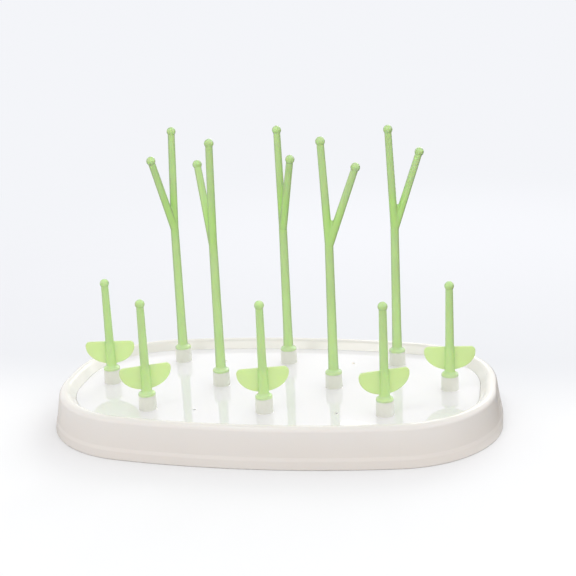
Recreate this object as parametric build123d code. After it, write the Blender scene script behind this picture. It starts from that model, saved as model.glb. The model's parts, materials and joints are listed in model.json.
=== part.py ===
from build123d import *
import math
import os

# A countertop rack for drying baby bottles, in millimetres. An oblong drip tray holds a lift-out
# drainer plate, and ten pegs stand in the sockets moulded into that plate, in rows of 3, 4 and 3.
# Origin: the middle of the tray's footprint, on the table. +Z is up, +X along the length, -Y is the front.

# ---- driving dimensions ------------------------------------------------------------------------------
PEG_PITCH = 80.0            # between neighbouring pegs in one row
ROW_GAP = 47.0              # between rows
TRAY_LENGTH = 302.4         # over the rim
TRAY_WIDTH = 174.0          # over the rim
TRAY_HEIGHT = 27.0          # table to the top of the rim
END_FLAT = 20.0             # straight stretch in the middle of each end
CORNER_RADIUS = 70.3        # big corner arcs at the rim
SKIRT_FLARE = 4.6           # how far the skirt spreads out from rim to table
WALL = 2.2                  # moulded wall thickness
PLATE_TOP = 21.0            # top of the drainer plate above the table
SOCKET_HEIGHT = 10.0        # socket above the drainer plate
TALL_PEG_HEIGHT = 162.0     # socket top to the centre of the tall ball
SHORT_PEG_HEIGHT = 63.6     # socket top to the centre of the short ball

# ---- drip tray ---------------------------------------------------------------------------------------
BAND_HEIGHT = 5.6           # foot band round the bottom of the skirt
BAND_FADE = 8.0             # the band has faded into the skirt at this height
BAND_PROUD = 0.3
FOOT_ROUND = 0.6
RIM_WIDTH = 5.4             # over the rim's top, before its edges are rounded
RIM_OUTER_ROUND = 3.8       # soft edge where the rim turns down into the skirt
RIM_INNER_ROUND = 4.5
SEAT_INSET = 10.7           # the rim slopes in this far down to the drainer plate's edge
SEAT_ROUND = 0.2
LEDGE_WIDTH = 2.5           # step under the drainer plate's edge
BASIN_FLOOR_UNDER = 1.3     # the basin floor hangs this far above the table
BASIN_FLOOR_TOP = BASIN_FLOOR_UNDER + WALL
BASIN_DRAFT = 1.6           # how far the basin wall leans in from ledge to floor
BASIN_CORNER = 3.0
GUIDE_RADIUS = 6.4          # low rings on the basin floor that centre the drainer plate's tubes
GUIDE_TOP = BASIN_FLOOR_TOP + 2.0

# ---- drainer plate -----------------------------------------------------------------------------------
PLATE_THICKNESS = 2.5
PLATE_INSET = 10.85         # plate edge inside the rim line, which leaves a fine gap to the seat
PLATE_UNDERSIDE = PLATE_TOP - PLATE_THICKNESS
PLATE_EDGE_ROUND = 0.2
SOCKET_RADIUS = 5.8
SOCKET_FOOT_RADIUS = 6.0    # slight draft towards the plate
SOCKET_MOUTH_ROUND = 0.3
BORE_RADIUS = 4.4
BORE_FLOOR = BASIN_FLOOR_TOP + 2.5
BORE_DRAIN_RADIUS = 1.5
DRAIN_RADIUS = 1.1
DRAIN_X = 0.6 * PEG_PITCH
DRAIN_Y = ROW_GAP
RIB_THICKNESS = 1.8         # stiffening ribs under the plate
RIB_DEPTH = 5.0
SOCKET_FILLET = 0.4
NOTCH = 2.0                 # slot across each socket's lower end, so water runs out of the bore

# ---- pegs --------------------------------------------------------------------------------------------
RUNNING_CLEARANCE = 0.05    # radial, plug in bore
PLUG_RADIUS = BORE_RADIUS - RUNNING_CLEARANCE
PLUG_LAND = 5.0             # full-size land at each end of the plug
PLUG_RELIEF = 0.45
PLUG_END_GAP = 1.0          # plug end above the bore floor
COLLAR_RADIUS = 5.75
COLLAR_EDGE = 0.9           # straight edge of the collar before its dome
COLLAR_SHOULDER = (4.65, 2.1)
COLLAR_TOP = 3.7
FOOT_RADIUS = 3.6           # stem where it runs into the collar
FOOT_HEIGHT = 20.0          # the foot's taper ends here
STEM_RADIUS = 3.3           # tall stem just above its foot
FORK_HEIGHT = 91.0          # socket top to where the two arms part
FORK_RADIUS = 2.9
ARM_RADIUS = 2.8
ARM_TIP_RADIUS = 2.45
BALL_RADIUS = 3.2
MAIN_LEAN = 3.5             # how far the main arm's ball stands off the axis, away from the branch
BRANCH_REACH = 19.3         # how far the branch's ball stands off the axis
BRANCH_HEIGHT = 144.5       # socket top to the centre of the branch's ball
CROTCH_ROUND = 1.0
SHORT_STEM_RADIUS = 2.95
SHORT_TOP_RADIUS = 2.5
LEAF_WIDTH = 34.6
LEAF_TOP = 20.8             # socket top to the leaf's straight top edge
LEAF_SHOULDER = 3.5         # the leaf's half-ellipse starts this far below its top edge
LEAF_BOTTOM = 4.3           # socket top to the lowest point of the half-ellipse
LEAF_THICKNESS = 1.7
LEAF_CORNER = 3.0
LEAF_EDGE_ROUND = 0.5

SOCKET_TOP = PLATE_TOP + SOCKET_HEIGHT

# Each peg: grid place in pitches and rows, then how far it is turned in its socket, in degrees from +X.
TALL_PEGS = [(-1, 1, 243), (-0.5, 0, 127), (0, 1, -58), (0.5, 0, 0), (1, 1, 25)]
SHORT_PEGS = [(-1.5, 0, 8), (-1, -1, 27), (0, -1, 16), (1, -1, 25), (1.5, 0, 6)]


def peg_place(column, row):
    return Vector(column * PEG_PITCH, row * ROW_GAP)


SOCKETS = [peg_place(column, row) for column, row, turn in TALL_PEGS + SHORT_PEGS]
GUIDED = [peg_place(column, row) for column in (-1, 1) for row in (-1, 1)]


# ---- the tray's outline ------------------------------------------------------------------------------
def outline(grow, height):
    """The rim line grown outwards by grow: four corner arcs, bulged long sides and short straight ends."""
    half_length = TRAY_LENGTH / 2
    half_width = TRAY_WIDTH / 2
    corner_x = half_length - CORNER_RADIUS
    corner_y = END_FLAT / 2
    drop = half_width - corner_y
    side_radius = (corner_x**2 + drop**2 - CORNER_RADIUS**2) / (2 * (drop - CORNER_RADIUS))
    side_centre = half_width - side_radius
    lean = math.atan2(corner_x, corner_y - side_centre)
    radius = CORNER_RADIUS + grow
    join = Vector(corner_x + radius * math.sin(lean), corner_y + radius * math.cos(lean))
    middle_turn = (math.pi / 2 - lean) / 2
    corner_middle = Vector(
        corner_x + radius * math.cos(middle_turn),
        corner_y + radius * math.sin(middle_turn),
    )
    end = Vector(half_length + grow, corner_y)
    side_middle = Vector(0, half_width + grow)

    def mirrored(point, x_sign, y_sign):
        return Vector(point.X * x_sign, point.Y * y_sign)

    with BuildSketch(Plane.XY.offset(height)) as sketch:
        with BuildLine():
            for y_sign in (1, -1):
                ThreePointArc(
                    mirrored(join, -1, y_sign),
                    mirrored(side_middle, 1, y_sign),
                    mirrored(join, 1, y_sign),
                )
                for x_sign in (1, -1):
                    ThreePointArc(
                        mirrored(join, x_sign, y_sign),
                        mirrored(corner_middle, x_sign, y_sign),
                        mirrored(end, x_sign, y_sign),
                    )
            for x_sign in (1, -1):
                Line(mirrored(end, x_sign, 1), mirrored(end, x_sign, -1))
        make_face()
    return sketch.sketch


def block(low_grow, low, high_grow, high):
    """A solid between two sizes of the tray's outline."""
    return loft([outline(low_grow, low), outline(high_grow, high)], ruled=True)


def edges_near(shape, height, tolerance=0.01):
    """The edges that lie flat at one height."""
    return shape.edges().filter_by(
        lambda edge: abs(edge.bounding_box().min.Z - height) < tolerance
        and abs(edge.bounding_box().max.Z - height) < tolerance
    )


def upright(radius, low, high, top_radius=None):
    """A round post on the Z axis, straight or tapered."""
    height = high - low
    if top_radius is None:
        return Pos(0, 0, low + height / 2) * Cylinder(radius, height)
    return Pos(0, 0, low + height / 2) * Cone(radius, top_radius, height)


def circles(shape, height, radius):
    """The full circles of one radius at one height."""
    return shape.edges().filter_by(GeomType.CIRCLE).filter_by(
        lambda edge: abs(edge.center().Z - height) < 0.01 and abs(edge.radius - radius) < 0.01
    )


# ---- drip tray ---------------------------------------------------------------------------------------
def skirt_grow(height):
    """How far the skirt stands outside the rim line at one height."""
    return SKIRT_FLARE * (1 - height / TRAY_HEIGHT)


def slope_inset(height):
    """How far inside the rim line the sloping inner side of the rim is at one height."""
    share = (height - PLATE_TOP) / (TRAY_HEIGHT - PLATE_TOP)
    return SEAT_INSET + share * (RIM_WIDTH - SEAT_INSET)


def make_basin(inward, floor, ledge, top):
    """The basin's inside from floor to top, or its outside if the wall thickness is taken off each inset."""
    seat = SEAT_INSET - inward
    wall = SEAT_INSET + LEDGE_WIDTH - inward
    basin = block(-wall - BASIN_DRAFT, floor, -wall, ledge)
    basin += block(-seat, ledge, -seat, PLATE_TOP)
    return basin + block(-seat, PLATE_TOP, inward - slope_inset(top), top)


def rim_face(tray):
    """The flat ring on top of the rim."""
    return tray.faces().sort_by(Axis.Z)[-1]


def make_drip_tray():
    band = block(SKIRT_FLARE + BAND_PROUD, 0, skirt_grow(BAND_HEIGHT) + BAND_PROUD, BAND_HEIGHT)
    fade = block(skirt_grow(BAND_HEIGHT) + BAND_PROUD, BAND_HEIGHT, skirt_grow(BAND_FADE), BAND_FADE)
    skirt = block(skirt_grow(BAND_FADE), BAND_FADE, 0, TRAY_HEIGHT)
    tray = skirt + fade + band - make_basin(0, BASIN_FLOOR_TOP, PLATE_UNDERSIDE, TRAY_HEIGHT)
    tray = fillet(rim_face(tray).outer_wire().edges(), RIM_OUTER_ROUND)
    tray = fillet(rim_face(tray).inner_wires()[0].edges(), RIM_INNER_ROUND)
    tray = fillet(edges_near(tray, PLATE_TOP), SEAT_ROUND)
    tray = fillet(edges_near(tray, 0), FOOT_ROUND)
    tray = fillet(edges_near(tray, BASIN_FLOOR_TOP), BASIN_CORNER)

    hollow_top = TRAY_HEIGHT - WALL
    hollow = block(SKIRT_FLARE - WALL, 0, skirt_grow(hollow_top) - WALL, hollow_top)
    hollow = fillet(edges_near(hollow, hollow_top), RIM_OUTER_ROUND - WALL)
    tray -= hollow - make_basin(WALL, BASIN_FLOOR_UNDER, PLATE_UNDERSIDE - WALL, hollow_top)

    guide = upright(GUIDE_RADIUS + WALL, BASIN_FLOOR_TOP, GUIDE_TOP)
    guide -= upright(GUIDE_RADIUS, BASIN_FLOOR_TOP, GUIDE_TOP)
    for place in GUIDED:
        tray += Pos(place.X, place.Y, 0) * guide
    return tray


# ---- drainer plate -----------------------------------------------------------------------------------
def make_drainer_plate():
    plate = block(-PLATE_INSET, PLATE_UNDERSIDE, -PLATE_INSET, PLATE_TOP)
    plate = fillet(edges_near(plate, PLATE_TOP), PLATE_EDGE_ROUND)

    for place in SOCKETS:
        socket = upright(SOCKET_FOOT_RADIUS, PLATE_TOP, SOCKET_TOP, SOCKET_RADIUS)
        tube = upright(SOCKET_FOOT_RADIUS, BASIN_FLOOR_TOP, PLATE_TOP)
        plate += Pos(place.X, place.Y, 0) * (socket + tube)

    rib_middle = PLATE_UNDERSIDE - RIB_DEPTH / 2
    plate += Pos(0, 0, rib_middle) * Box(3 * PEG_PITCH, RIB_THICKNESS, RIB_DEPTH)
    for column in (-1, 0, 1):
        plate += Pos(column * PEG_PITCH, 0, rib_middle) * Box(RIB_THICKNESS, 2 * ROW_GAP, RIB_DEPTH)

    for place in SOCKETS:
        bore = upright(BORE_RADIUS, BORE_FLOOR, SOCKET_TOP)
        drain = upright(BORE_DRAIN_RADIUS, BASIN_FLOOR_TOP, BORE_FLOOR)
        notch = Pos(0, 0, BASIN_FLOOR_TOP + NOTCH / 2) * Box(NOTCH, 3 * SOCKET_FOOT_RADIUS, NOTCH)
        plate -= Pos(place.X, place.Y, 0) * (bore + drain + notch)
    for x_sign in (-1, 1):
        for y_sign in (-1, 1):
            hole = upright(DRAIN_RADIUS, PLATE_UNDERSIDE, PLATE_TOP)
            plate -= Pos(x_sign * DRAIN_X, y_sign * DRAIN_Y, 0) * hole

    plate = fillet(circles(plate, PLATE_TOP, SOCKET_FOOT_RADIUS), SOCKET_FILLET)
    return fillet(circles(plate, SOCKET_TOP, SOCKET_RADIUS), SOCKET_MOUTH_ROUND)


# ---- pegs, each drawn on the Z axis with the socket's top at zero ------------------------------------
def peg_profile(stem_radius, top_radius, top):
    """The turned part of a peg: plug, collar, foot and stem, as half a section."""
    plug_end = BORE_FLOOR + PLUG_END_GAP - SOCKET_TOP
    relief = PLUG_RADIUS - PLUG_RELIEF
    with BuildSketch(Plane.XZ) as section:
        with BuildLine():
            Polyline(
                (0, top),
                (0, plug_end),
                (relief, plug_end),
                (PLUG_RADIUS, plug_end + 2 * PLUG_RELIEF),
                (PLUG_RADIUS, plug_end + PLUG_LAND),
                (relief, plug_end + PLUG_LAND + PLUG_RELIEF),
                (relief, -PLUG_LAND - PLUG_RELIEF),
                (PLUG_RADIUS, -PLUG_LAND),
                (PLUG_RADIUS, 0),
                (COLLAR_RADIUS, 0),
                (COLLAR_RADIUS, COLLAR_EDGE),
            )
            Spline(
                (COLLAR_RADIUS, COLLAR_EDGE),
                COLLAR_SHOULDER,
                (FOOT_RADIUS, COLLAR_TOP),
                tangents=[(0, 1), (0, 1)],
            )
            Line((FOOT_RADIUS, COLLAR_TOP), (stem_radius, FOOT_HEIGHT))
            Line((stem_radius, FOOT_HEIGHT), (top_radius, top))
            Line((top_radius, top), (0, top))
        make_face()
    return revolve(section.sketch, Axis.Z)


def arm(start, end):
    """A tapered round arm between two points."""
    along = Vector(end) - Vector(start)
    frame = Plane(origin=start, z_dir=along)
    return frame * Pos(0, 0, along.length / 2) * Cone(ARM_RADIUS, ARM_TIP_RADIUS, along.length)


def make_tall_peg():
    parting = (0, 0, FORK_HEIGHT)
    tips = [(-MAIN_LEAN, 0, TALL_PEG_HEIGHT), (BRANCH_REACH, 0, BRANCH_HEIGHT)]
    arms = arm(parting, tips[0]) + arm(parting, tips[1])
    crotch = arms.edges().filter_by(lambda edge: edge.bounding_box().max.Z > FORK_HEIGHT + ARM_RADIUS)
    crotch = crotch.filter_by(lambda edge: edge.bounding_box().max.Z < BRANCH_HEIGHT - BALL_RADIUS)
    crotch = crotch.filter_by(GeomType.LINE, reverse=True)
    arms = fillet(crotch, CROTCH_ROUND)
    peg = peg_profile(STEM_RADIUS, FORK_RADIUS, FORK_HEIGHT) + Pos(*parting) * Sphere(FORK_RADIUS)
    peg += arms
    for tip in tips:
        peg += Pos(*tip) * Sphere(BALL_RADIUS)
    return peg


def make_leaf():
    half = LEAF_WIDTH / 2
    shoulder = LEAF_TOP - LEAF_SHOULDER
    with BuildPart() as leaf:
        with BuildSketch(Plane.XZ):
            with BuildLine():
                Polyline((-half, shoulder), (-half, LEAF_TOP), (half, LEAF_TOP), (half, shoulder))
                EllipticalCenterArc((0, shoulder), half, shoulder - LEAF_BOTTOM, 180, arc_size=180)
            make_face()
        extrude(amount=LEAF_THICKNESS / 2, both=True)
        upper = leaf.edges().filter_by(Axis.Y).group_by(Axis.Z)[-1]
        fillet(upper, LEAF_CORNER)
        fillet(leaf.faces().filter_by(Axis.Y).edges(), LEAF_EDGE_ROUND)
    return leaf.part


def make_short_peg():
    peg = peg_profile(SHORT_STEM_RADIUS, SHORT_TOP_RADIUS, SHORT_PEG_HEIGHT)
    peg += Pos(0, 0, SHORT_PEG_HEIGHT) * Sphere(BALL_RADIUS)
    return peg + make_leaf()


# ---- write every piece -------------------------------------------------------------------------------
def write(shape, name):
    export_step(shape, "parts/" + name + ".step")


def write_pegs(shape, places, name):
    for number, (column, row, turn) in enumerate(places, start=1):
        spot = peg_place(column, row)
        write(Pos(spot.X, spot.Y, SOCKET_TOP) * Rot(0, 0, turn) * shape, name + "_" + str(number))


os.makedirs("parts", exist_ok=True)
write(make_drip_tray(), "drip_tray")
write(make_drainer_plate(), "drainer_plate")
write_pegs(make_tall_peg(), TALL_PEGS, "tall_peg")
write_pegs(make_short_peg(), SHORT_PEGS, "short_peg")
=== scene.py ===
"""Looks for the bottle drying rack: moulded-plastic materials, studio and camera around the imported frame."""

import json
import math

import bpy
import numpy as np
from mathutils import Euler, Matrix, Vector

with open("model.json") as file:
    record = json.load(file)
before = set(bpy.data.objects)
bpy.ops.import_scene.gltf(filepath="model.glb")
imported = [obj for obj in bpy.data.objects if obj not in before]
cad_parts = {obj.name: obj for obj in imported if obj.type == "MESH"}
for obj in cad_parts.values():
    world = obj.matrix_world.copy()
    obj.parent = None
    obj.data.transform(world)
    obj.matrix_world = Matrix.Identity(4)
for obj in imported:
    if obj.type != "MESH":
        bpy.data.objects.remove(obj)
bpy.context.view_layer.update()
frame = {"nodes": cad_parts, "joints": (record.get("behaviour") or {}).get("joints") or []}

MM = 0.001

# ---- colours of the plastics, linear red, green and blue -------------------------------------------------
TRAY_IVORY = (0.860, 0.840, 0.818)
# painted shade: a darker ivory for the tray's faces that look up
TRAY_TOP_PAINTED_SHADE = (0.778, 0.760, 0.728)
# painted shade: a deeper ivory towards the tray's foot, where less light reaches
TRAY_FOOT_PAINTED_SHADE = (0.835, 0.800, 0.765)
PLATE_WHITE = (0.778, 0.771, 0.797)
# painted shade: a darker, warmer cream for the plate's upright faces, such as its sockets
PLATE_UPRIGHT_PAINTED_SHADE = (0.760, 0.774, 0.700)
STEM_GREEN = (0.63, 0.86, 0.40)
# painted shade for a stem's grazing edges
STEM_EDGE_PAINTED_SHADE = (0.40, 0.54, 0.28)
# painted light: a brighter green for the stem where it crosses the leaf, for the leaf's glow
STEM_PAINTED_LEAF_GLOW = (0.65, 0.88, 0.39)
CROTCH_GREEN = (0.56, 0.89, 0.27)
LEAF_GREEN = (0.81, 0.94, 0.57)
COLLAR_MINT = (0.66, 0.86, 0.48)
# the white of real edge wear, also used as painted light on the plate's hole walls and underside
WEAR_AND_HOLE_LIGHT_WHITE = (0.88, 0.87, 0.85)
STEM_CLOUD = 0.93           # brightness of the stem's deeper clouds
# painted shade on the stems' grazing edges
LEAF_PEG_EDGE_SHADE = 0.3          # how far a stem darkens towards its grazing edges
FORK_PEG_EDGE_SHADE = 0.7
GLOW_SHARE = 0.12           # how much light a peg lets through, and how much more its leaf does
LEAF_GLOW_SHARE = 0.36
PLASTIC_IOR = 1.49
PLATE_IOR = 1.72            # the plate mirrors more strongly than the other pieces
NOISE_SPAN = (0.3, 0.7)     # most of a noise's values lie between these

# ---- heights and sizes of the parts that the colour follows ----------------------------------------------
# heights above the floor where the painted shade towards the tray's foot starts and is full
TRAY_FOOT_SHADE_START, TRAY_FOOT_SHADE_FULL = 24 * MM, 8 * MM
PLATE_TOP = 21 * MM
COLLAR_TOP = 3.7 * MM       # this and the heights below start at the socket's top
LEAF_TOP = 20.8 * MM
STEM_RADIUS = 3.3 * MM
FORK_HEIGHT = 91 * MM
FORK_TOP = 112 * MM

# ---- studio: colours and brightness ----------------------------------------------------------------------
FLOOR_WHITE = (0.845, 0.853, 0.868)
FLOOR_FAR = (0.725, 0.737, 0.768)
FLOOR_BOUNCE = (0.52, 0.51, 0.50)
# painted shadow on the floor, for light and mirrors only
PAINTED_SHADOW_GREY = (0.10, 0.08, 0.06)
BACKDROP = (0.904, 0.914, 0.947)
FRONT_LIGHT = (1.08, 1.03, 1.00)
BACK_LIGHT = (1.16, 1.16, 1.16)
BEHIND_LIGHT = (1.31, 1.31, 1.31)
TOP_LIGHT = (0.74, 0.74, 0.74)
RIGHT_LIGHT = (1.60, 1.60, 1.60)
RIGHT_SHADE = (0.16, 0.08, 0.02)

# ---- studio: where each part of the world's light starts and is full, along a unit direction ------------
BACK_ACROSS = (-0.6, 0.3)
BEHIND_ACROSS, BEHIND_BELOW = (0.6, 0.8), (0.55, 0.45)
TOP_ABOVE = (0.5, 0.9)
RIGHT_ACROSS, RIGHT_ABOVE, RIGHT_BELOW = (0.35, 0.6), (0.15, 0.4), (0.9, 0.7)
SHADE_ACROSS, SHADE_ABOVE, SHADE_BELOW = (0.5, 0.72), (-0.3, -0.1), (0.22, 0.10)

# ---- studio: the floor, in metres ------------------------------------------------------------------------
FLOOR_RADIUS = 3.0
FLOOR_RINGS = 12
FLOOR_SIDES = 96
FLOOR_FADE = (0.35, 0.9)            # distance from the middle over which the floor turns into the backdrop
FAR_FLOOR = (-0.02, 0.12)           # distance back over which the floor turns to its far colour
# a painted shadow on the floor beside the tray's right end, seen only by light and mirrors
SHADOW_PATCH_RIGHTWARD = (0.150, 0.175)     # the dark stretch that the tray's right end mirrors
SHADOW_PATCH_BACKWARD = (-0.14, -0.06)

# ---- camera ----------------------------------------------------------------------------------------------
CAMERA_PLACE = (0.1544, -0.7555, 0.3206)
CAMERA_PITCH_DOWN = math.radians(15.47)
CAMERA_YAW = math.radians(9.72)
CAMERA_ROLL = math.radians(-2.37)
CAMERA_LENS = 73.4
CAMERA_SENSOR = 36
CAMERA_SHIFT = (-0.0344, -0.0394)


class Shader:
    """The nodes of a new material, or of the world, with a short call for each kind of node used below."""

    def __init__(self, name, world=False):
        self.made = bpy.data.worlds.new(name) if world else bpy.data.materials.new(name)
        self.made.use_nodes = True
        self.tree = self.made.node_tree
        self.plastic = self.tree.nodes.get("Principled BSDF")
        self.output = self.tree.nodes.get("Material Output")

    def add(self, kind, **settings):
        node = self.tree.nodes.new("ShaderNode" + kind)
        for name, value in settings.items():
            setattr(node, name, value)
        return node

    def put(self, socket, value):
        """Links an input to another node's output, or sets it to a number or a colour."""
        if isinstance(value, bpy.types.NodeSocket):
            self.tree.links.new(value, socket)
        elif socket.type == "RGBA":
            socket.default_value = (*value, 1.0)
        else:
            socket.default_value = value

    def finish(self, **inputs):
        """Sets the plastic's own inputs, named with _ for each space."""
        for name, value in inputs.items():
            self.put(self.plastic.inputs[name.replace("_", " ")], value)

    def math(self, operation, first, second=0.0):
        node = self.add("Math", operation=operation, use_clamp=operation == "MULTIPLY")
        self.put(node.inputs[0], first)
        self.put(node.inputs[1], second)
        return node.outputs[0]

    def times(self, first, second):
        return self.math("MULTIPLY", first, second)

    def plus(self, first, second):
        return self.math("ADD", first, second)

    def total(self, base, *extras):
        """The base plus each extra value times the weight that comes with it."""
        for value, weight in extras:
            base = self.plus(base, self.times(value, weight))
        return base

    def mix(self, share, first, second):
        """The first colour where the share is 0 and the second where it is 1."""
        node = self.add("Mix", data_type="RGBA")
        colours = [socket for socket in node.inputs if socket.type == "RGBA"]
        self.put(node.inputs["Factor"], share)
        self.put(colours[0], first)
        self.put(colours[1], second)
        return next(socket for socket in node.outputs if socket.type == "RGBA")

    def mix_surfaces(self, share, first, second):
        """Gives the material the first surface where the share is 0 and the second where it is 1."""
        node = self.add("MixShader")
        for socket, value in zip(node.inputs, (share, first.outputs[0], second.outputs[0])):
            self.put(socket, value)
        self.put(self.output.inputs["Surface"], node.outputs[0])

    def band(self, value, start, end, low=0.0, high=1.0):
        """Turns a value smoothly from low at start to high at end."""
        node = self.add("MapRange", interpolation_type="SMOOTHSTEP")
        names = ("Value", "From Min", "From Max", "To Min", "To Max")
        for name, number in zip(names, (value, start, end, low, high)):
            self.put(node.inputs[name], number)
        return node.outputs["Result"]

    def place(self):
        return self.add("TexCoord").outputs["Object"]

    def split(self, vector):
        node = self.add("SeparateXYZ")
        self.put(node.inputs[0], vector)
        return node.outputs

    def upness(self):
        """1 on faces that look straight up, 0 on upright ones and -1 on undersides."""
        return self.split(self.add("NewGeometry").outputs["Normal"])[2]

    def seen(self):
        """1 for what the camera sees directly, and 0 for what only lights or mirrors see."""
        return self.add("LightPath").outputs["Is Camera Ray"]

    def noise(self, place, size, detail=3.0, stretch=(1.0, 1.0, 1.0)):
        """Noise with features about one size across, in metres, drawn out along an axis by a low stretch."""
        mapping = self.add("Mapping")
        self.put(mapping.inputs["Vector"], place)
        self.put(mapping.inputs["Scale"], stretch)
        node = self.add("TexNoise")
        self.put(node.inputs["Vector"], mapping.outputs["Vector"])
        self.put(node.inputs["Scale"], 1.0 / size)
        self.put(node.inputs["Detail"], detail)
        return node.outputs["Fac"]

    def bump(self, height, depth, under=None):
        """A bump as deep as the given depth in metres, on top of another bump's normal."""
        node = self.add("Bump")
        self.put(node.inputs["Height"], height)
        self.put(node.inputs["Distance"], depth)
        self.put(node.inputs["Strength"], 1.0)
        if under is not None:
            self.put(node.inputs["Normal"], under)
        return node.outputs["Normal"]

    def worn_edge(self, reach, patches):
        """Patches of wear along edges rounded tighter than the reach, in metres, and 0 on open faces."""
        bevel = self.add("Bevel", samples=8)
        self.put(bevel.inputs["Radius"], reach)
        dot = self.add("VectorMath", operation="DOT_PRODUCT")
        self.put(dot.inputs[0], bevel.outputs["Normal"])
        self.put(dot.inputs[1], self.add("NewGeometry").outputs["Normal"])
        return self.times(self.band(dot.outputs["Value"], start=0.97, end=0.80), patches)

    def scratches(self, place, width, length, share):
        """Fine hairline scratches in two directions: the bright crests of two drawn-out noises."""
        along = self.noise(place, width, 2.0, (width / length, 1.0, 1.0))
        across = self.noise(place, width, 2.0, (1.0, width / length, 1.0))
        crest = self.math("MAXIMUM", along, across)
        return self.band(crest, 1.0 - share, 1.0)


def tray_material():
    """Warm ivory moulded plastic, glossy, with a faint orange-peel skin and hairline wear on its edges;
    painted shade darkens its upward faces and its skirt towards the foot.
    """
    shader = Shader("tray_ivory_plastic")
    place = shader.place()
    cloud = shader.noise(place, size=70 * MM, detail=2.0)
    flow = shader.noise(place, size=14 * MM, stretch=(0.15, 1.0, 1.0))
    skin = shader.noise(place, size=1.6 * MM, detail=2.0)
    swell = shader.noise(place, size=30 * MM, detail=1.0)
    hairline = shader.scratches(place, width=0.35 * MM, length=18 * MM, share=0.33)
    wear = shader.worn_edge(reach=1.2 * MM, patches=shader.noise(place, size=4 * MM, detail=4.0))

    # painted shade: the skirt turns darker towards its foot, more under some clouds than others
    lower = shader.band(shader.split(place)[2], TRAY_FOOT_SHADE_START, TRAY_FOOT_SHADE_FULL)
    foot_shade = shader.times(lower, shader.band(cloud, 0.35, 0.65, low=0.6, high=1.0))
    colour = shader.mix(foot_shade, TRAY_IVORY, TRAY_FOOT_PAINTED_SHADE)
    # painted shade: faces that look up are painted darker
    colour = shader.mix(shader.band(shader.upness(), 0.3, 0.9), colour, TRAY_TOP_PAINTED_SHADE)
    colour = shader.mix(shader.times(wear, 0.35), colour, WEAR_AND_HOLE_LIGHT_WHITE)
    rough = shader.band(flow, *NOISE_SPAN, low=0.16, high=0.24)
    shader.finish(
        Base_Color=colour,
        Roughness=shader.total(rough, (hairline, 0.20), (wear, 0.15)),
        Normal=shader.bump(skin, depth=0.006 * MM, under=shader.bump(swell, depth=0.10 * MM)),
        Subsurface_Weight=0.12,
        Subsurface_Radius=(1.0, 0.8, 0.6),
        Subsurface_Scale=2.0 * MM,
        IOR=PLASTIC_IOR,
    )
    return shader.made


def plate_material():
    """Whiter, mirror-glossy plastic with a slow waviness and fine swirls; painted shade on its upright faces;
    light bleeds into its holes, and painted light makes all below its top face lighter.
    """
    shader = Shader("plate_white_plastic")
    place = shader.place()
    cloud = shader.noise(place, size=55 * MM, detail=2.0)
    skin = shader.noise(place, size=1.4 * MM, detail=2.0)
    swell = shader.noise(place, size=45 * MM, detail=1.0)
    hairline = shader.scratches(place, width=0.3 * MM, length=22 * MM, share=0.34)
    wear = shader.worn_edge(reach=0.8 * MM, patches=shader.noise(place, size=3 * MM, detail=4.0))
    level = shader.band(shader.upness(), 0.4, 0.95)
    below = shader.band(shader.split(place)[2], PLATE_TOP - 0.05 * MM, PLATE_TOP - 0.25 * MM)

    # painted shade: upright faces take the darker cream, level faces the white
    colour = shader.mix(level, PLATE_UPRIGHT_PAINTED_SHADE, PLATE_WHITE)
    colour = shader.mix(shader.band(cloud, 0.4, 0.7, low=0.0, high=0.12), colour, TRAY_IVORY)
    colour = shader.mix(shader.times(wear, 0.3), colour, WEAR_AND_HOLE_LIGHT_WHITE)
    rough = shader.band(level, 0.0, 1.0, low=0.26, high=0.02)
    rough = shader.plus(rough, shader.band(cloud, *NOISE_SPAN, low=0.0, high=0.02))
    shader.finish(
        # painted light: everything below the plate's top face, hole walls included, is painted lighter
        Base_Color=shader.mix(below, colour, WEAR_AND_HOLE_LIGHT_WHITE),
        Roughness=shader.total(rough, (hairline, 0.10)),
        Normal=shader.bump(skin, depth=0.0012 * MM, under=shader.bump(swell, depth=0.02 * MM)),
        Subsurface_Weight=shader.band(below, 0.0, 1.0, low=0.10, high=0.95),
        Subsurface_Radius=(1.0, 0.9, 0.7),
        Subsurface_Scale=2.0 * MM,
        IOR=PLATE_IOR,
    )
    return shader.made


def leaf_parts(shader, along, height):
    """Where a short peg's leaf is, and where its stem crosses the leaf's height and gets painted light."""
    leaf = shader.band(shader.math("ABSOLUTE", along), STEM_RADIUS - 0.1 * MM, STEM_RADIUS + 0.5 * MM)
    leaf = shader.times(leaf, shader.band(height, LEAF_TOP + 1 * MM, LEAF_TOP + 0.5 * MM))
    leaf = shader.times(leaf, shader.band(height, COLLAR_TOP, COLLAR_TOP + 0.4 * MM))
    return leaf, shader.band(height, LEAF_TOP + 1 * MM, LEAF_TOP - 4 * MM)


def fork_crotch(shader, height):
    """Where a tall peg's two arms part."""
    above = shader.band(height, FORK_HEIGHT - 12 * MM, FORK_HEIGHT + 8 * MM)
    return shader.times(above, shader.band(height, FORK_TOP + 14 * MM, FORK_TOP - 2 * MM))


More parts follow.
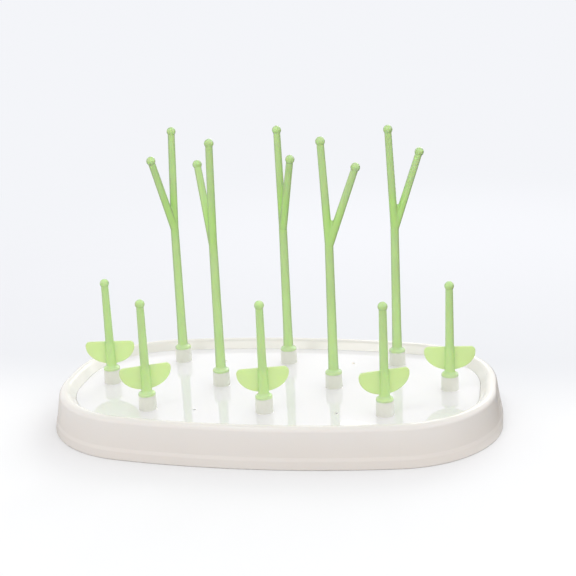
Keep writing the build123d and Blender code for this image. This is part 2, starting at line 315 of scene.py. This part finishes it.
def peg_material(name, leafy, edge_shade_share):
    """Translucent spring-green plastic: painted shade on the grazing rims of round stems, painted light on the
    stems across the leaves, glowing thin leaves, a parting line.
    """
    shader = Shader(name)
    place = shader.add("Attribute", attribute_name="peg_place").outputs["Vector"]
    along, aside, height = shader.split(place)
    collar = shader.band(height, COLLAR_TOP + 0.3 * MM, COLLAR_TOP - 0.6 * MM)
    leaf, low = leaf_parts(shader, along, height) if leafy else (0.0, 0.0)
    crotch = 0.0 if leafy else fork_crotch(shader, height)

    # painted shade: darker towards the stem's grazing edges
    facing = shader.add("LayerWeight")
    shader.put(facing.inputs["Blend"], 0.5)
    edge_shade = shader.band(facing.outputs["Facing"], 0.15, 0.65)
    cloud = shader.noise(place, size=9 * MM, stretch=(1.0, 1.0, 0.35))
    streak = shader.noise(place, size=1.1 * MM, stretch=(1.0, 1.0, 0.05))
    grain = shader.noise(place, size=0.7 * MM, detail=2.0)
    parting = shader.band(shader.math("ABSOLUTE", aside), 0.16 * MM, 0.04 * MM)
    wear = shader.worn_edge(reach=0.35 * MM, patches=grain)

    clouded = tuple(STEM_CLOUD * part for part in STEM_GREEN)
    stem = shader.mix(shader.band(cloud, *NOISE_SPAN), STEM_GREEN, clouded)
    stem = shader.mix(shader.times(crotch, 0.6), stem, CROTCH_GREEN)
    stem = shader.mix(shader.times(edge_shade, edge_shade_share), stem, STEM_EDGE_PAINTED_SHADE)
    # painted light: the stem is brighter where it crosses the leaf's height
    stem = shader.mix(shader.times(low, 0.8), stem, STEM_PAINTED_LEAF_GLOW)
    colour = shader.mix(shader.times(collar, 0.75), stem, COLLAR_MINT)
    colour = shader.mix(leaf, colour, LEAF_GREEN)
    colour = shader.mix(shader.times(wear, 0.25), colour, WEAR_AND_HOLE_LIGHT_WHITE)
    rough = shader.band(streak, *NOISE_SPAN, low=0.17, high=0.23)
    seam = shader.bump(parting, depth=0.05 * MM)
    streaks = shader.bump(streak, depth=0.002 * MM, under=seam)
    shader.finish(
        Base_Color=colour,
        Roughness=shader.total(rough, (wear, 0.2)),
        Normal=shader.bump(grain, depth=0.004 * MM, under=streaks),
        Subsurface_Weight=0.45,
        Subsurface_Radius=(0.7, 1.0, 0.25),
        Subsurface_Scale=2.2 * MM,
        IOR=PLASTIC_IOR,
    )
    glow = shader.add("BsdfTranslucent")
    shader.put(glow.inputs["Color"], colour)
    shader.mix_surfaces(shader.total(GLOW_SHARE, (leaf, LEAF_GLOW_SHARE)), shader.plastic, glow)
    return shader.made


def mark_peg_places(peg, socket_top):
    """Stores each point's place in the peg's own axes: X in the plane of its fork or leaf, Z up its stem."""
    points = np.empty(len(peg.data.vertices) * 3, np.float32)
    peg.data.vertices.foreach_get("co", points)
    local = points.reshape(-1, 3) - np.array(socket_top, np.float32)
    spread = local[:, :2].T @ local[:, :2]
    plane = np.linalg.eigh(spread)[1][:, -1]
    farthest = local[np.argmax(np.hypot(local[:, 0], local[:, 1])), :2]
    plane = plane * np.sign(plane @ farthest)
    across = np.array((-plane[1], plane[0]))
    places = np.column_stack((local[:, :2] @ plane, local[:, :2] @ across, local[:, 2]))
    attribute = peg.data.attributes.new("peg_place", "FLOAT_VECTOR", "POINT")
    attribute.data.foreach_set("vector", places.astype(np.float32).ravel())


def cover(node, material):
    for index in range(len(node.material_slots)):
        node.material_slots[index].material = material


def finish_object():
    socket_tops = {joint["child"]: joint.get("pos_m") for joint in frame["joints"]}
    tray, plate = tray_material(), plate_material()
    leaf_peg = peg_material("leaf_peg_green_plastic", True, LEAF_PEG_EDGE_SHADE)
    fork_peg = peg_material("fork_peg_green_plastic", False, FORK_PEG_EDGE_SHADE)
    for name, node in frame["nodes"].items():
        if name == "drip_tray":
            cover(node, tray)
        elif name == "drainer_plate":
            cover(node, plate)
        else:
            mark_peg_places(node, socket_tops[name])
            cover(node, leaf_peg if name.startswith("short") else fork_peg)


def floor_mesh():
    """A round sheet of rings around the origin, on the ground."""
    points = [(0.0, 0.0, 0.0)]
    for ring in range(1, FLOOR_RINGS + 1):
        reach = FLOOR_RADIUS * ring / FLOOR_RINGS
        for side in range(FLOOR_SIDES):
            turn = 2 * math.pi * side / FLOOR_SIDES
            points.append((reach * math.cos(turn), reach * math.sin(turn), 0.0))
    faces = [(0, 1 + side, 1 + (side + 1) % FLOOR_SIDES) for side in range(FLOOR_SIDES)]
    for ring in range(FLOOR_RINGS - 1):
        inner, outer = 1 + ring * FLOOR_SIDES, 1 + (ring + 1) * FLOOR_SIDES
        for side in range(FLOOR_SIDES):
            following = (side + 1) % FLOOR_SIDES
            faces.append((inner + side, outer + side, outer + following, inner + following))
    mesh = bpy.data.meshes.new("floor")
    mesh.from_pydata(points, [], faces)
    return mesh


def floor_material():
    """Pale paper that fades into the backdrop's colour; only light and mirrors meet its darker bounce and a
    painted shadow beside the tray's right end.
    """
    shader = Shader("floor_paper")
    place = shader.place()
    seen = shader.seen()
    right, back, _ = shader.split(place)
    far = shader.add("VectorMath", operation="LENGTH")
    shader.put(far.inputs[0], place)
    # painted shadow: a dark patch beside the tray's right end, for light and mirrors only
    shadow_patch = shader.times(shader.band(right, *SHADOW_PATCH_RIGHTWARD), shader.band(back, *SHADOW_PATCH_BACKWARD))
    bounce = shader.mix(shadow_patch, FLOOR_BOUNCE, PAINTED_SHADOW_GREY)
    paper = shader.mix(shader.band(back, *FAR_FLOOR), FLOOR_WHITE, FLOOR_FAR)
    grain = shader.noise(place, size=0.8 * MM, detail=4.0)
    shader.finish(
        Base_Color=shader.mix(seen, bounce, paper),
        Roughness=0.75,
        Specular_IOR_Level=0.0,
        Normal=shader.bump(grain, depth=0.02 * MM),
    )
    glow = shader.add("Emission")
    shader.put(glow.inputs["Color"], shader.mix(seen, bounce, BACKDROP))
    shader.mix_surfaces(shader.band(far.outputs["Value"], *FLOOR_FADE), shader.plastic, glow)
    return shader.made


def make_floor():
    floor = bpy.data.objects.new("floor", floor_mesh())
    floor.data.materials.append(floor_material())
    bpy.context.scene.collection.objects.link(floor)


def make_softbox(name, place, size, glow):
    """A white softbox that faces the rack, adds glow to what mirrors see there, and hides from the camera."""
    light = bpy.data.lights.new(name, "AREA")
    light.shape = "RECTANGLE"
    light.size, light.size_y = size
    light.energy = glow * math.pi * size[0] * size[1]
    box = bpy.data.objects.new(name, light)
    box.location = place
    box.rotation_euler = (-Vector(place)).to_track_quat("-Z", "Y").to_euler()
    box.visible_camera = False
    bpy.context.scene.collection.objects.link(box)


def make_world():
    """Soft light from all round, warm in front, dark low on the right; the camera sees only the backdrop."""
    shader = Shader("studio", world=True)
    right, back, up = shader.split(shader.add("TexCoord").outputs["Generated"])
    around = shader.mix(shader.band(back, *BACK_ACROSS), FRONT_LIGHT, BACK_LIGHT)
    behind = shader.times(shader.band(back, *BEHIND_ACROSS), shader.band(up, *BEHIND_BELOW))
    around = shader.mix(behind, around, BEHIND_LIGHT)
    around = shader.mix(shader.band(up, *TOP_ABOVE), around, TOP_LIGHT)
    high = shader.times(shader.band(up, *RIGHT_ABOVE), shader.band(up, *RIGHT_BELOW))
    around = shader.mix(shader.times(high, shader.band(right, *RIGHT_ACROSS)), around, RIGHT_LIGHT)
    low = shader.times(shader.band(up, *SHADE_BELOW), shader.band(up, *SHADE_ABOVE))
    around = shader.mix(shader.times(low, shader.band(right, *SHADE_ACROSS)), around, RIGHT_SHADE)
    background = shader.tree.nodes["Background"]
    shader.put(background.inputs["Color"], shader.mix(shader.seen(), around, BACKDROP))
    bpy.context.scene.world = shader.made


def make_studio():
    make_floor()
    make_world()
    make_softbox("top_softbox", place=(-0.35, -0.55, 1.5), size=(0.5, 0.42), glow=4.5)
    make_softbox("rear_softbox", place=(0.25, 1.15, 0.85), size=(0.9, 0.5), glow=2.8)
    bpy.context.scene.view_settings.view_transform = "Standard"


def make_camera():
    camera = bpy.data.objects.new("camera", bpy.data.cameras.new("camera"))
    turned = Euler((math.pi / 2 - CAMERA_PITCH_DOWN, 0, CAMERA_YAW)).to_matrix()
    turned = turned @ Matrix.Rotation(CAMERA_ROLL, 3, "Z")
    camera.matrix_world = Matrix.Translation(CAMERA_PLACE) @ turned.to_4x4()
    camera.data.lens = CAMERA_LENS
    camera.data.sensor_width = CAMERA_SENSOR
    camera.data.shift_x, camera.data.shift_y = CAMERA_SHIFT
    bpy.context.scene.collection.objects.link(camera)
    bpy.context.scene.camera = camera


finish_object()
make_studio()
make_camera()
